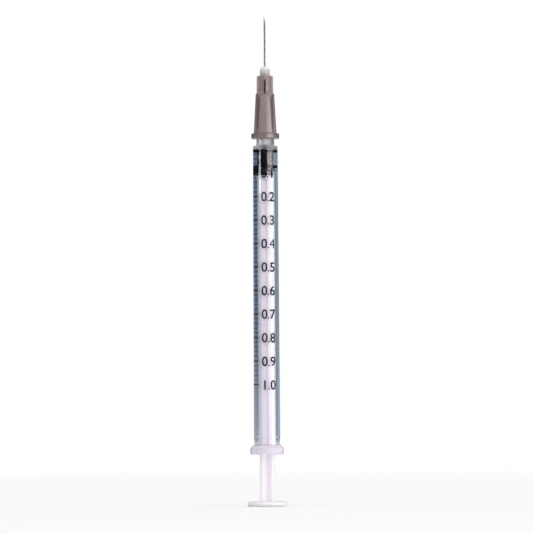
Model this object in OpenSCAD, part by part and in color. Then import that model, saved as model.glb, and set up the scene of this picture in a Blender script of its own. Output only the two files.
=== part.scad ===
// One-millilitre slip-tip syringe with its needle, standing on its thumb rest.
// Millimetres, +Z towards the needle's point, origin under the middle of the thumb rest.

/* [Plunger rod] */
// Diameter of the thumb rest
thumb_d = 9.8; // [8.6:0.1:12]
// Thickness of the thumb rest
thumb_t = 1.18; // [1:0.02:1.6]
// Rounding of the thumb rest's rim
thumb_round = 0.42; // [0.1:0.02:0.48]
// Length of rod that shows below the finger flange with the plunger home
rod_out = 11.47; // [9:0.01:16]
// Thickness of each of the four ribs
rib_t = 1.1; // [0.8:0.05:1.5]
// Thickness of the round shoulder behind the gasket
shoulder_t = 0.9; // [0.6:0.1:1.5]
// Diameter of the neck that the gasket's lip closes round
neck_d = 1.7; // [1.4:0.1:2]
// Diameter of the head that is snapped into the gasket
head_d = 2.6; // [2.4:0.1:2.8]
// Length of the head
head_len = 1.9; // [1.5:0.1:2.2]

/* [Gasket] */
// Height of the shallow cone on the nose
nose_h = 0.3; // [0.2:0.05:0.6]
// Height of the front sealing rib
front_rib_t = 0.75; // [0.5:0.05:0.9]
// Height of the recess between the two sealing ribs
recess_len = 3; // [2.6:0.1:3.2]
// Height of the rear sealing rib
rear_rib_t = 0.85; // [0.6:0.05:1]
// Height of the groove behind the rear rib
groove_len = 0.35; // [0.25:0.05:0.5]
// Height of the thin wiper behind the groove
wiper_t = 0.25; // [0.2:0.01:0.35]
// Length of the skirt behind the wiper
skirt_len = 1.1; // [0.8:0.05:1.6]
// Depth of the recess below the sealing ribs
recess_depth = 0.38; // [0.25:0.01:0.5]
// Depth of the groove below the sealing ribs
groove_depth = 0.33; // [0.2:0.01:0.45]
// Depth of the skirt below the sealing ribs
skirt_depth = 0.43; // [0.3:0.01:0.55]
// Softened corner of each rib
rib_edge = 0.1; // [0.05:0.01:0.12]
// Length of the lip that holds the rod's head
lip_len = 1.2; // [0.9:0.1:1.6]

/* [Barrel] */
// Inside diameter of the barrel
bore_d = 4.7; // [4.5:0.05:5]
// Thickness of the wall beside the nozzle
wall_top = 0.675; // [0.6:0.005:0.9]
// Thickness of the wall above the finger flange
wall_base = 0.86; // [0.75:0.01:1.1]
// Depth of the bore from its open end to the top of its floor
bore_depth = 75.05; // [68:0.05:84]
// Thickness of the floor under the nozzle
floor_t = 0.7; // [0.6:0.05:1]
// Rounding of the shoulder round the nozzle
shoulder_round = 0.4; // [0.2:0.05:0.5]
// How far the ridge that keeps the plunger in stands into the bore
ridge_h = 0.1; // [0.06:0.01:0.12]
// Length of that ridge along the bore
ridge_len = 0.6; // [0.4:0.05:1]
// Distance from the open end to the middle of the ridge
ridge_up = 4.25; // [3:0.05:6]
// Widening of the bore at its open end
lead_in = 0.25; // [0.1:0.05:0.4]

/* [Finger flange] */
// Length of the flange across its two wings
flange_l = 13; // [11:0.5:18]
// Width of the flange across its flats
flange_w = 8.27; // [7.6:0.01:9.4]
// Thickness of the flange
flange_t = 2.3; // [2:0.05:2.8]
// Slope along its upper edge
flange_slope = 0.66; // [0.3:0.02:0.7]
// Softened lower edge
flange_edge = 0.15; // [0.1:0.05:0.3]

/* [Nozzle] */
// Diameter of the nozzle at its tip
nozzle_tip_d = 3.96; // [3.93:0.01:3.99]
// Length of the nozzle
nozzle_len = 7.6; // [7.2:0.1:8.6]
// Diameter of the channel through the nozzle
channel_d = 1.5; // [1.2:0.1:2]
// Softened edge of the tip
nozzle_edge = 0.2; // [0.1:0.05:0.3]

/* [Graduation] */
// Length of the bore that holds one millilitre
ml_len = 57.6; // [52:0.1:60]
// Height of a fine mark
mark_t = 0.13; // [0.1:0.01:0.2]
// Height of a numbered mark
major_t = 0.29; // [0.22:0.01:0.4]
// Length of a fine mark round the barrel
mark_len = 2.7; // [2:0.1:3.4]
// Length of a numbered mark round the barrel
major_len = 3.7; // [2.5:0.1:4.5]
// Thickness of the ink
ink_t = 0.02; // [0.01:0.005:0.04]

/* [Needle hub] */
// Bare nozzle between the barrel's shoulder and the hub's mouth
hub_gap = 1.7; // [1.2:0.1:2.5]
// How far the collar at the mouth stands out from the cone
collar_out = 0.43; // [0.3:0.01:0.7]
// Height of the collar
collar_t = 1.3; // [1:0.05:1.6]
// How far each of the two lugs stands out from the collar
lug_out = 0.38; // [0.3:0.01:0.8]
// Width of each lug
lug_w = 3.2; // [2.6:0.1:3.5]
// Softened edges of the collar
collar_edge = 0.18; // [0.1:0.02:0.3]
// Thickness of the cone's wall above the collar
cone_wall_base = 0.48; // [0.4:0.01:0.7]
// Thickness of the cone's wall at its top, along the line of the socket
cone_wall_top = 0.18; // [0.15:0.01:0.4]
// How far the grip panels stand out above the collar
panel_out_base = 0.09; // [0.07:0.01:0.2]
// How far the grip panels stand out at the top of the cone
panel_out_top = 0.25; // [0.2:0.01:0.4]
// Width of a grip panel above the collar
panel_base_w = 3.4; // [2.8:0.1:3.6]
// Width of a grip panel under its arch
panel_top_w = 2.6; // [2.2:0.1:2.9]
// Rise of the arch that ends a grip panel
arch_rise = 0.93; // [0.6:0.01:1.1]
// Length of the socket past the nozzle's tip
socket_room = 2.1; // [1.6:0.1:3]
// Length of the cone past the end of the socket
cone_room = 2.2; // [1.8:0.1:3]
// Length of the rounded step from the cone to the nose
dome_len = 1.5; // [1:0.1:2]
// Length from the top of the cone to the end of the fins
fin_len = 5.4; // [4:0.1:6]
// Thickness of each fin
fin_t = 0.65; // [0.5:0.05:0.9]
// Width across the fins at their foot
fin_base_w = 4.24; // [4:0.02:4.4]
// Width across the fins at their end
fin_top_w = 4; // [3.6:0.05:4.2]
// Rounding of the fins' outer corners
fin_round = 0.45; // [0.2:0.05:0.6]
// Diameter of the nose
nose_d = 2.36; // [2.2:0.02:2.6]
// Length from the top of the cone to the end of the nose
nose_len = 7; // [6.4:0.1:8.5]
// Length of the funnel between the socket and the needle
funnel_len = 1.3; // [1:0.1:1.6]
// Rim of the nose round the glue well
well_rim = 0.33; // [0.2:0.01:0.5]
// Depth of the glue well
well_len = 2.4; // [1.5:0.1:3]

/* [Cannula and adhesive] */
// Outside diameter of the steel tube
cannula_d = 0.41; // [0.3:0.01:0.5]
// Inside diameter of the steel tube
lumen_d = 0.21; // [0.15:0.01:0.25]
// Length from the end of the hub's nose to the point
needle_out = 13.2; // [8:0.1:16]
// Rim of the nose that the adhesive bead leaves bare
bead_rim = 0.03; // [0.02:0.01:0.2]
// Height of the adhesive bead above the nose
bead_h = 0.8; // [0.5:0.05:1]

/* [Fits] */
// Radial room between the rod's ribs and the bore
rod_play = 0.15; // [0.13:0.01:0.25]
// Radial gap between the sealing ribs and the bore
seal_gap = 0.02; // [0.01:0.005:0.03]
// How much further in than the sealing ribs the wiper stands
wiper_inset = 0.02; // [0:0.005:0.025]
// Gap between the gasket's nose and the barrel's floor
nose_gap = 0.05; // [0.02:0.01:0.1]
// Gap round the rod's head and neck in the gasket
head_gap = 0.05; // [0.03:0.01:0.1]
// Radial gap between the nozzle and the hub's socket
luer_gap = 0.02; // [0.01:0.005:0.04]
// Gap between pieces that are printed or glued on
bond_gap = 0.01; // [0.005:0.005:0.02]

/* [Hidden] */
$fn = 96;

// Fall in diameter for each unit of length on the nozzle and in its socket
luer_taper_share = 0.06;
// Marks in one millilitre, and fine steps from one numbered mark to the next
marks_per_ml = 50;
steps_per_number = 5;
// Angle from the front of the barrel to the near end of every mark
mark_edge_deg = 37;
// Slope of the main bevel, and slope and turn of the two side bevels at the point
bevel_deg = 12;
side_bevel_deg = 20;
side_turn_deg = 40;
// Radius left at the end of the rod's head, as a share of its own
head_tip_share = 0.45;
// Share of the head's length that is straight
head_straight_share = 0.4;
// Overrun of every cut
over = 0.5;

bore_r = bore_d / 2;
rod_r = bore_r - rod_play;
ridge_r = bore_r - ridge_h;
seal_r = bore_r - seal_gap;
head_r = head_d / 2;
neck_r = neck_d / 2;
nose_r = nose_d / 2;
cannula_r = cannula_d / 2;
hole_r = cannula_r + bond_gap;

// Heights along the axis, from the thumb rest up to the barrel's nozzle
open_z = thumb_t + rod_out;
flange_top_z = open_z + flange_t;
floor_z = open_z + bore_depth;
shoulder_z = floor_z + floor_t;
nozzle_z = shoulder_z + nozzle_len;

// Heights on the gasket, from its nose down to the rod's shoulder
nose_z = floor_z - nose_gap;
fiducial_z = nose_z - nose_h;
front_rib_z = fiducial_z - front_rib_t;
rear_rib_top_z = front_rib_z - recess_len;
rear_rib_z = rear_rib_top_z - rear_rib_t;
wiper_top_z = rear_rib_z - groove_len;
wiper_z = wiper_top_z - wiper_t;
gasket_z = wiper_z - skirt_len;
rod_len = gasket_z - head_gap;

// Heights on the needle, from the hub's mouth up to the point
mouth_z = shoulder_z + hub_gap;
collar_z = mouth_z + collar_t;
socket_z = nozzle_z + socket_room;
funnel_z = socket_z + funnel_len;
cone_z = socket_z + cone_room;
arch_z = cone_z + arch_rise;
fin_z = cone_z + fin_len;
hub_z = cone_z + nose_len;
point_z = hub_z + needle_out;

// Radius of the nozzle, of the hub's socket, and of the barrel's outside, at a height
function nozzle_r(z) = (nozzle_tip_d + luer_taper_share * (nozzle_z - z)) / 2;
function socket_r(z) = nozzle_r(z) + luer_gap;
wall_growth = (wall_base - wall_top) / (shoulder_z - flange_top_z);
function barrel_r(z) = bore_r + wall_top + wall_growth * (shoulder_z - z);
// Height of the floor's shallow cone at a radius
function floor_at(r) = floor_z - nose_h * r / bore_r;
// Radii of the hub's cone above the collar and at its top
cone_base_r = socket_r(collar_z) + cone_wall_base;
cone_top_r = socket_r(cone_z) + cone_wall_top;
collar_r = cone_base_r + collar_out;

// A round piece from the outline of its right half
module turned(outline) {
  rotate_extrude() polygon(outline);
}

// A disc whose upper and lower edges are cut at 45 degrees
module edged_disc(r, z0, z1, low, high) {
  turned([[0, z0], [r - low, z0], [r, z0 + low], [r, z1 - high], [r - high, z1], [0, z1]]);
}

// The barrel's tube, shoulder and nozzle before they are hollowed
module barrel_form() {
  top_r = barrel_r(shoulder_z - shoulder_round);
  rotate_extrude() union() {
    polygon([
      [0, open_z], [barrel_r(flange_top_z), open_z], [barrel_r(flange_top_z), flange_top_z],
      [top_r, shoulder_z - shoulder_round], [top_r - shoulder_round, shoulder_z],
      [nozzle_r(shoulder_z), shoulder_z], [nozzle_r(nozzle_z - nozzle_edge), nozzle_z - nozzle_edge],
      [nozzle_r(nozzle_z) - nozzle_edge, nozzle_z], [0, nozzle_z]
    ]);
    translate([top_r - shoulder_round, shoulder_z - shoulder_round]) circle(r = shoulder_round);
  }
}

// Two wings with round ends and parallel flats, sloped along the upper edge
module finger_flange() {
  half_w = flange_w / 2;
  intersection() {
    edged_disc(flange_l / 2, open_z, flange_top_z, flange_edge, flange_slope);
    rotate([90, 0, 0]) translate([0, 0, -flange_l])
      linear_extrude(height = 2 * flange_l) polygon([
        [-half_w + flange_edge, open_z], [half_w - flange_edge, open_z],
        [half_w, open_z + flange_edge], [half_w, flange_top_z - flange_slope],
        [half_w - flange_slope, flange_top_z], [-half_w + flange_slope, flange_top_z],
        [-half_w, flange_top_z - flange_slope], [-half_w, open_z + flange_edge]
      ]);
  }
}

// Everything that is hollow inside the barrel
module barrel_hollow() {
  ridge_z = open_z + ridge_up;
  channel_r = channel_d / 2;
  turned([
    [0, open_z - over], [bore_r + lead_in, open_z - over], [bore_r + lead_in, open_z],
    [bore_r, open_z + lead_in], [bore_r, ridge_z - ridge_len / 2], [ridge_r, ridge_z],
    [bore_r, ridge_z + ridge_len / 2], [bore_r, floor_at(bore_r)],
    [channel_r, floor_at(channel_r)], [channel_r, nozzle_z + over], [0, nozzle_z + over]
  ]);
}

module barrel() {
  color([0.86, 0.90, 0.95, 0.45]) difference() {
    union() {
      barrel_form();
      finger_flange();
    }
    barrel_hollow();
  }
}

// One printed mark that starts at the edge angle and runs to the left
module mark(z, t, len) {
  inner_r = barrel_r(z - t / 2) + bond_gap;
  turn = len / inner_r * 180 / PI;
  rotate([0, 0, -90 - mark_edge_deg - turn]) rotate_extrude(angle = turn)
    translate([inner_r, z - t / 2]) square([ink_t, t]);
}

module scale_lines() {
  color([0.07, 0.12, 0.20]) for (i = [0 : marks_per_ml]) {
    z = fiducial_z - i * ml_len / marks_per_ml;
    if (i % steps_per_number == 0) mark(z, major_t, major_len);
    else mark(z, mark_t, mark_len);
  }
}

module plunger_gasket() {
  recess_r = seal_r - recess_depth;
  groove_r = seal_r - groove_depth;
  skirt_r = seal_r - skirt_depth;
  wiper_r = seal_r - wiper_inset;
  chamber_z = gasket_z + lip_len;
  tip_r = head_r * head_tip_share;
  straight = head_len * head_straight_share;
  color([0.06, 0.06, 0.07]) difference() {
    turned([
      [0, gasket_z], [skirt_r - rib_edge, gasket_z], [skirt_r, gasket_z + rib_edge],
      [skirt_r, wiper_z], [wiper_r, wiper_z], [wiper_r, wiper_top_z], [groove_r, wiper_top_z],
      [groove_r, rear_rib_z], [seal_r - rib_edge, rear_rib_z], [seal_r, rear_rib_z + rib_edge],
      [seal_r, rear_rib_top_z - rib_edge], [seal_r - rib_edge, rear_rib_top_z],
      [recess_r, rear_rib_top_z], [recess_r, front_rib_z], [seal_r - rib_edge, front_rib_z],
      [seal_r, front_rib_z + rib_edge], [seal_r, fiducial_z - rib_edge],
      [seal_r - rib_edge, fiducial_z], [0, nose_z]
    ]);
    turned([
      [0, gasket_z - over], [neck_r + head_gap, gasket_z - over], [neck_r + head_gap, chamber_z],
      [head_r + head_gap, chamber_z], [head_r + head_gap, chamber_z + head_gap * 2 + straight],
      [tip_r + head_gap, chamber_z + head_gap * 2 + head_len],
      [0, chamber_z + head_gap * 2 + head_len]
    ]);
  }
}

// Thumb rest with a rounded rim
module thumb_rest() {
  r = thumb_d / 2;
  rotate_extrude() union() {
    square([r - thumb_round, thumb_t]);
    translate([0, thumb_round]) square([r, thumb_t - 2 * thumb_round]);
    for (z = [thumb_round, thumb_t - thumb_round])
      translate([r - thumb_round, z]) circle(r = thumb_round);
  }
}

// Four ribs in a cross that stands diagonally to the front
module rod_ribs() {
  translate([0, 0, thumb_t / 2]) linear_extrude(height = rod_len - shoulder_t / 2 - thumb_t / 2)
    intersection() {
      circle(r = rod_r);
      for (turn = [45, 135]) rotate([0, 0, turn]) square([2 * rod_r + over, rib_t], center = true);
    }
}

module plunger_rod() {
  head_z = gasket_z + lip_len + head_gap;
  color([0.95, 0.93, 0.97]) union() {
    thumb_rest();
    rod_ribs();
    turned([
      [0, rod_len - shoulder_t], [rod_r, rod_len - shoulder_t], [rod_r, rod_len],
      [neck_r, rod_len], [neck_r, head_z], [head_r, head_z],
      [head_r, head_z + head_len * head_straight_share],
      [head_r * head_tip_share, head_z + head_len], [0, head_z + head_len]
    ]);
  }
}

// Collar at the mouth with two lugs
module hub_collar() {
  lug_r = collar_r + lug_out;
  edged_disc(collar_r, mouth_z, collar_z, collar_edge, collar_edge);
  intersection() {
    edged_disc(lug_r, mouth_z, collar_z, collar_edge, collar_edge);
    translate([-2 * lug_r, -lug_w / 2, mouth_z]) cube([4 * lug_r, lug_w, collar_t]);
  }
}

// Cone, rounded step and nose
module hub_core() {
  step = cone_top_r - nose_r;
  step_z = cone_z + dome_len - step;
  rotate_extrude() union() {
    polygon([
      [0, mouth_z], [cone_base_r, mouth_z], [cone_base_r, collar_z], [cone_top_r, cone_z],
      [cone_top_r, step_z], [nose_r, cone_z + dome_len], [nose_r, hub_z], [0, hub_z]
    ]);
    intersection() {
      translate([nose_r, step_z]) circle(r = step);
      translate([nose_r, step_z]) square([step, step]);
    }
  }
}

// Outline of a grip panel: a tapering strip that ends in an arch
module panel_outline() {
  half_base = panel_base_w / 2;
  half_top = panel_top_w / 2;
  arch_r = (half_top * half_top + arch_rise * arch_rise) / (2 * arch_rise);
  polygon([
    [-half_base, collar_z - collar_edge], [half_base, collar_z - collar_edge],
    [half_top, cone_z], [-half_top, cone_z]
  ]);
  intersection() {
    translate([0, cone_z + arch_rise - arch_r]) circle(r = arch_r);
    translate([-half_top, cone_z - collar_edge]) square([panel_top_w, arch_rise + collar_edge + over]);
  }
}

module grip_panels() {
  base_r = cone_base_r + panel_out_base;
  top_r = cone_top_r + panel_out_top;
  intersection() {
    turned([[0, collar_z - collar_edge], [base_r, collar_z - collar_edge], [top_r, arch_z], [0, arch_z]]);
    for (i = [0 : 3]) rotate([0, 0, 90 * i]) rotate([90, 0, 0])
      linear_extrude(height = 2 * base_r) panel_outline();
  }
}

// A pair of fins in one sheet, with rounded outer corners
module fin_pair() {
  half_base = fin_base_w / 2;
  half_top = fin_top_w / 2;
  rotate([90, 0, 0]) translate([0, 0, -fin_t / 2]) linear_extrude(height = fin_t) union() {
    polygon([
      [-half_base, cone_z], [half_base, cone_z], [half_top, fin_z - fin_round],
      [half_top - fin_round, fin_z], [fin_round - half_top, fin_z], [-half_top, fin_z - fin_round]
    ]);
    for (side = [-1, 1])
      translate([side * (half_top - fin_round), fin_z - fin_round]) circle(r = fin_round);
  }
}

// Socket, funnel, needle hole and glue well
module hub_hollow() {
  well_r = nose_r - well_rim;
  turned([
    [0, mouth_z - over], [socket_r(mouth_z - over), mouth_z - over],
    [socket_r(socket_z), socket_z], [hole_r, funnel_z], [hole_r, hub_z - well_len],
    [well_r, hub_z], [well_r, hub_z + over], [0, hub_z + over]
  ]);
}

module needle_hub() {
  color([0.55, 0.50, 0.48]) difference() {
    union() {
      hub_collar();
      hub_core();
      grip_panels();
      for (turn = [0, 90]) rotate([0, 0, turn]) fin_pair();
    }
    hub_hollow();
  }
}

// Cuts away all on the open side of a sloping plane through the point of the tube
module bevel_cut(slope, turn) {
  reach = needle_out;
  rotate([0, 0, turn]) translate([-cannula_r * cos(turn), 0, point_z]) rotate([0, -slope, 0])
    translate([0, -reach, -reach]) cube([reach, 2 * reach, 2 * reach]);
}

// Steel tube with a long main bevel and two steeper ones that sharpen its point
module needle_cannula() {
  tube_len = point_z - funnel_z;
  color([0.78, 0.79, 0.81]) difference() {
    translate([0, 0, funnel_z]) cylinder(h = tube_len, r = cannula_r);
    translate([0, 0, funnel_z - over]) cylinder(h = tube_len + 2 * over, r = lumen_d / 2);
    bevel_cut(bevel_deg, 0);
    for (side = [-1, 1]) bevel_cut(side_bevel_deg, side * side_turn_deg);
  }
}

// Glue that fills the well and stands up round the needle as a bead
module needle_adhesive() {
  well_r = nose_r - well_rim;
  bead_r = nose_r - bead_rim;
  dome_r = (bead_r * bead_r + bead_h * bead_h) / (2 * bead_h);
  color([0.95, 0.93, 0.92, 0.8]) difference() {
    rotate_extrude() union() {
      polygon([
        [0, hub_z - well_len + bond_gap], [hole_r, hub_z - well_len + bond_gap],
        [well_r - bond_gap, hub_z], [0, hub_z]
      ]);
      intersection() {
        translate([0, hub_z + bead_h - dome_r]) circle(r = dome_r);
        translate([0, hub_z]) square([bead_r, bead_h]);
      }
    }
    translate([0, 0, hub_z - well_len - over])
      cylinder(h = well_len + bead_h + 2 * over, r = hole_r);
  }
}

barrel();
scale_lines();
plunger_gasket();
plunger_rod();
needle_hub();
needle_cannula();
needle_adhesive();
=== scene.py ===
from math import asin, cos, degrees, hypot, pi, radians, sin

import bmesh
import bpy
from bpy.props import FloatProperty, FloatVectorProperty, PointerProperty
from bpy.types import Operator, Panel, PropertyGroup
from mathutils import Matrix, Vector


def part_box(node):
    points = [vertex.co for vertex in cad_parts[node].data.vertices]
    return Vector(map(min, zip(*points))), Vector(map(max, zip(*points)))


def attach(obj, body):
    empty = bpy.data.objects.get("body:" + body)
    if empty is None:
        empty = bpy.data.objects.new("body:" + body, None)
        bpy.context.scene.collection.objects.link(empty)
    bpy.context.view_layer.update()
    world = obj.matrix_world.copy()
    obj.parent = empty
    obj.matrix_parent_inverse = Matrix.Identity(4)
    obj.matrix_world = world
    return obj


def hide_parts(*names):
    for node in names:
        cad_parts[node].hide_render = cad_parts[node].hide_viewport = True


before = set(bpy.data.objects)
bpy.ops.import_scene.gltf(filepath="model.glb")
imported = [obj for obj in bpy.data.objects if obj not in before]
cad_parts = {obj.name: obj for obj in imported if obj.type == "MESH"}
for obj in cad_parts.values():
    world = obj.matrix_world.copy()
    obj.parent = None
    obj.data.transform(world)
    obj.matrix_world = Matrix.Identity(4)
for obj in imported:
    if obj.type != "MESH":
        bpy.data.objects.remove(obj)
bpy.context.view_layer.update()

bl_info = {
    "name": "Slip-Tip Syringe",
    "version": (1, 0, 0),
    "blender": (4, 5, 0),
    "location": "3D View > Sidebar > Syringe",
    "description": "Models and dresses a one-millilitre syringe and its needle on a packed frame",
    "category": "Object",
}

# One millimetre in metres. Meshes are made in millimetres and scaled down when they are finished.
MM = 0.001
# Radial steps of every turned piece
AROUND = 160
# Steps of a quarter-round edge
EDGE_STEPS = 5
# Vertices closer than this are one, in millimetres
TOUCH = 1e-4
# Luer taper: fall in diameter for each unit of length
TAPER_SHARE = 0.06
# Refraction of polypropylene
PLASTIC_IOR = 1.49
# Plain colours of the stage
WHITE, BLACK = (1, 1, 1), (0, 0, 0)
# Lowest and highest corner of each CAD node
BOXES = {node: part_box(node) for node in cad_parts}


def low(node):
    """The lowest corner of a CAD node, in millimetres."""
    return BOXES[node][0] / MM


def high(node):
    """The highest corner of a CAD node, in millimetres."""
    return BOXES[node][1] / MM


def length(name, description, millimetres):
    """A length that a user may change, given here in millimetres."""
    return FloatProperty(name=name, description=description, default=millimetres * MM,
                         min=0, precision=6, unit="LENGTH", subtype="DISTANCE")


def angle(name, description, value):
    """An angle that a user may change, given here in degrees."""
    return FloatProperty(name=name, description=description, default=radians(value),
                         subtype="ANGLE")


def fraction(name, description, value):
    """A share from nought to one that a user may change."""
    return FloatProperty(name=name, description=description, default=value, min=0, max=1)


def colour(name, description, red, green, blue):
    """A colour that a user may change."""
    return FloatVectorProperty(name=name, description=description, default=(red, green, blue),
                               min=0, max=1, size=3, subtype="COLOR")


class BarrelSettings(PropertyGroup):
    """Sizes and colours of the clear barrel."""

    bore: length("Bore", "Inside diameter of the tube", 4.7)
    wall_top: length("Wall at the top", "Thickness of the wall beside the nozzle", 0.675)
    wall_base: length("Wall at the base", "Thickness of the wall above the finger flange", 0.86)
    depth: length("Bore depth", "Depth of the bore from its open end to its floor", 75.05)
    floor: length("Floor", "Thickness of the floor under the nozzle", 0.7)
    dish: length("Dish", "Depth of the shallow cone in the floor", 0.3)
    shoulder: length("Shoulder", "Rounding of the shoulder round the nozzle", 0.4)
    ridge: length("Ridge", "How far the ridge that keeps the plunger in stands inward", 0.05)
    ridge_length: length("Ridge length", "Length of that ridge along the bore", 0.6)
    ridge_up: length("Ridge place", "Distance from the open end to the middle of the ridge", 4.25)
    lead_in: length("Lead-in", "Widening of the bore at its open end", 0.25)
    flange: length("Flange", "Thickness of the finger flange", 2.3)
    slope: length("Flange slope", "Slope along the upper edge of the flange", 0.66)
    soft_edge: length("Flange edge", "Softening of the flange's edges", 0.12)
    channel: length("Channel", "Diameter of the channel through the nozzle", 1.5)
    nozzle_length: length("Nozzle", "Length of the nozzle", 7.6)
    tip: length("Nozzle tip", "Diameter of the nozzle at its tip", 3.96)
    tip_edge: length("Tip edge", "Rounding of the nozzle's tip", 0.2)
    foot: length("Foot", "Small fillet where the nozzle and the flange meet the tube", 0.15)
    tint: colour("Tint", "Colour of the clear plastic seen straight on", 0.992, 0.985, 0.998)
    # The edge tint is partly the longer path through the wall and partly painted shade
    edge_tint_and_shade: colour("Edge tint", "Colour of the tube's wall seen along its edge", 0.42, 0.5, 0.6)
    flange_tint: colour("Flange tint", "Colour of the flange's thick plastic", 0.845, 0.81, 0.89)
    nozzle_tint: colour("Nozzle tint", "Colour of the nozzle's thick plastic", 0.76, 0.745, 0.755)
    flange_clear: fraction("Flange clearness", "Share of light that passes the flange", 0.35)
    nozzle_clear: fraction("Nozzle clearness", "Share of light that passes the nozzle", 0.85)


class ScaleSettings(PropertyGroup):
    """Sizes and colour of the printed numbers."""

    span: length("Span", "Length of the scale from its zero to one millilitre", 57.6)
    height: length("Number height", "Height of the printed numbers", 2.28)
    digit: length("Digit width", "Width of a round digit", 1.34)
    drop: length("Number drop", "How far the numbers stand below the middle of their marks", 0.12)
    film: length("Ink", "Thickness of the printed ink", 0.02)
    gap: length("Print gap", "Gap between the barrel and the ink", 0.01)
    slice: length("Slice", "Width of the strips that bend a number round the barrel", 0.18)
    bold: length("Bold", "How far the strokes of the numbers are widened on each side", 0.048)
    ink: colour("Ink", "Colour of the printed ink", 0.014, 0.016, 0.024)


class GasketSettings(PropertyGroup):
    """Sizes and colour of the rubber gasket."""

    seal: length("Seal", "How far the squeezed ribs reach into the wall of the bore", 0.005)
    nose: length("Nose", "Height of the shallow cone on the nose", 0.3)
    front_rib: length("Front rib", "Height of the front sealing rib", 0.75)
    recess: length("Recess", "Height of the recess between the sealing ribs", 3.0)
    rear_rib: length("Rear rib", "Height of the rear sealing rib", 0.85)
    groove: length("Groove", "Height of the groove behind the rear rib", 0.35)
    wiper: length("Wiper", "Height of the thin wiper", 0.25)
    recess_depth: length("Recess depth", "Depth of the recess below the ribs", 0.32)
    groove_depth: length("Groove depth", "Depth of the groove below the ribs", 0.28)
    skirt_depth: length("Skirt depth", "Depth of the skirt below the ribs", 0.43)
    rounding: length("Rib rounding", "Rounding of the ribs' corners", 0.12)
    lip: length("Lip", "Length of the lip that holds the rod's head", 1.2)
    play: length("Head gap", "Gap round the rod's head", 0.05)
    rubber: colour("Rubber", "Colour of the rubber", 0.002, 0.002, 0.0025)


class RodSettings(PropertyGroup):
    """Sizes and colour of the plunger rod."""

    thumb: length("Thumb rest", "Thickness of the thumb rest", 1.18)
    thumb_round: length("Thumb rest rim", "Rounding of the thumb rest's rim", 0.42)
    reach: length("Ribs", "Distance from the axis to the end of a rib", 2.2)
    rib: length("Rib thickness", "Thickness of each of the four ribs", 1.1)
    rib_edge: length("Rib edge", "Rounding of the ribs' outer corners", 0.12)
    rib_foot: length("Rib foot", "Fillet between two ribs", 0.4)
    shoulder: length("Shoulder", "Thickness of the round shoulder behind the gasket", 0.9)
    neck: length("Neck", "Diameter of the neck", 1.7)
    head: length("Head", "Diameter of the head", 2.6)
    head_length: length("Head length", "Length of the head", 1.9)
    plastic: colour("Plastic", "Colour of the milky plastic", 0.9, 0.868, 0.905)


class HubSettings(PropertyGroup):
    """Sizes and colour of the needle hub."""

    collar: length("Collar", "Diameter of the collar at the mouth", 6.1)
    collar_height: length("Collar height", "Height of the collar", 1.3)
    collar_edge: length("Collar edge", "Rounding of the collar's edges", 0.18)
    lug: length("Lug width", "Width of each lug on the collar", 3.2)
    cone_base: length("Cone base", "Diameter of the cone above the collar", 5.236)
    cone_top: length("Cone top", "Diameter of the cone at its top", 4.102)
    cone_up: length("Cone height", "Height of the top of the cone above the mouth", 10.2)
    panel_base: length("Panel base", "Width of a grip panel above the collar", 3.7)
    panel_top: length("Panel top", "Width of a grip panel under its arch", 2.6)
    panel_out_base: length("Panel relief", "How far a panel stands out above the collar", 0.2)
    panel_out_top: length("Top relief", "How far a panel stands out under its arch", 0.22)
    panel_edge: length("Panel edge", "Rounding of the panels' edges", 0.07)
    arch: length("Arch", "Rise of the arch that ends a panel", 0.93)
    step: length("Step", "Length of the rounded step from the cone to the nose", 1.5)
    nose: length("Nose", "Diameter of the nose", 2.36)
    nose_edge: length("Nose edge", "Rounding of the nose's rim", 0.08)
    fin: length("Fin", "Thickness of each fin", 0.65)
    fin_length: length("Fin length", "Length from the top of the cone to the end of the fins", 5.4)
    fin_base: length("Fins at the foot", "Width across the fins at their foot", 4.24)
    fin_top: length("Fins at the end", "Width across the fins at their end", 4.0)
    fin_round: length("Fin corner", "Rounding of the fins' outer corners", 0.45)
    fin_edge: length("Fin edge", "Rounding of the fins' edges", 0.09)
    socket: length("Socket", "Length of the conical socket from the mouth", 8.0)
    funnel: length("Funnel", "Length of the funnel between the socket and the needle", 1.3)
    gap: length("Socket gap", "Radial gap between the nozzle and the socket", 0.02)
    rim: length("Rim", "Rim of the nose round the glue well", 0.33)
    well: length("Well", "Depth of the glue well", 2.4)
    plastic: colour("Plastic", "Colour of the translucent hub", 0.362, 0.29, 0.278)
    # Paler tint of the thin nose: partly its thin plastic, partly painted light
    nose_tint: colour("Nose tint", "Colour of the thin nose", 0.88, 0.83, 0.82)


class NeedleSettings(PropertyGroup):
    """Sizes and colours of the steel tube and its glue."""

    lumen: length("Lumen", "Inside diameter of the steel tube", 0.21)
    bond: length("Bond gap", "Gap between the glue and what it holds", 0.01)
    bevel: angle("Bevel", "Slope of the main bevel", 12)
    side_bevel: angle("Side bevels", "Slope of the two side bevels", 20)
    side_turn: angle("Side turn", "Turn of the two side bevels", 40)
    steel: colour("Steel", "Colour of the steel", 0.33, 0.325, 0.33)
    glue: colour("Glue", "Colour of the cured glue", 0.96, 0.955, 0.95)


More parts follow.
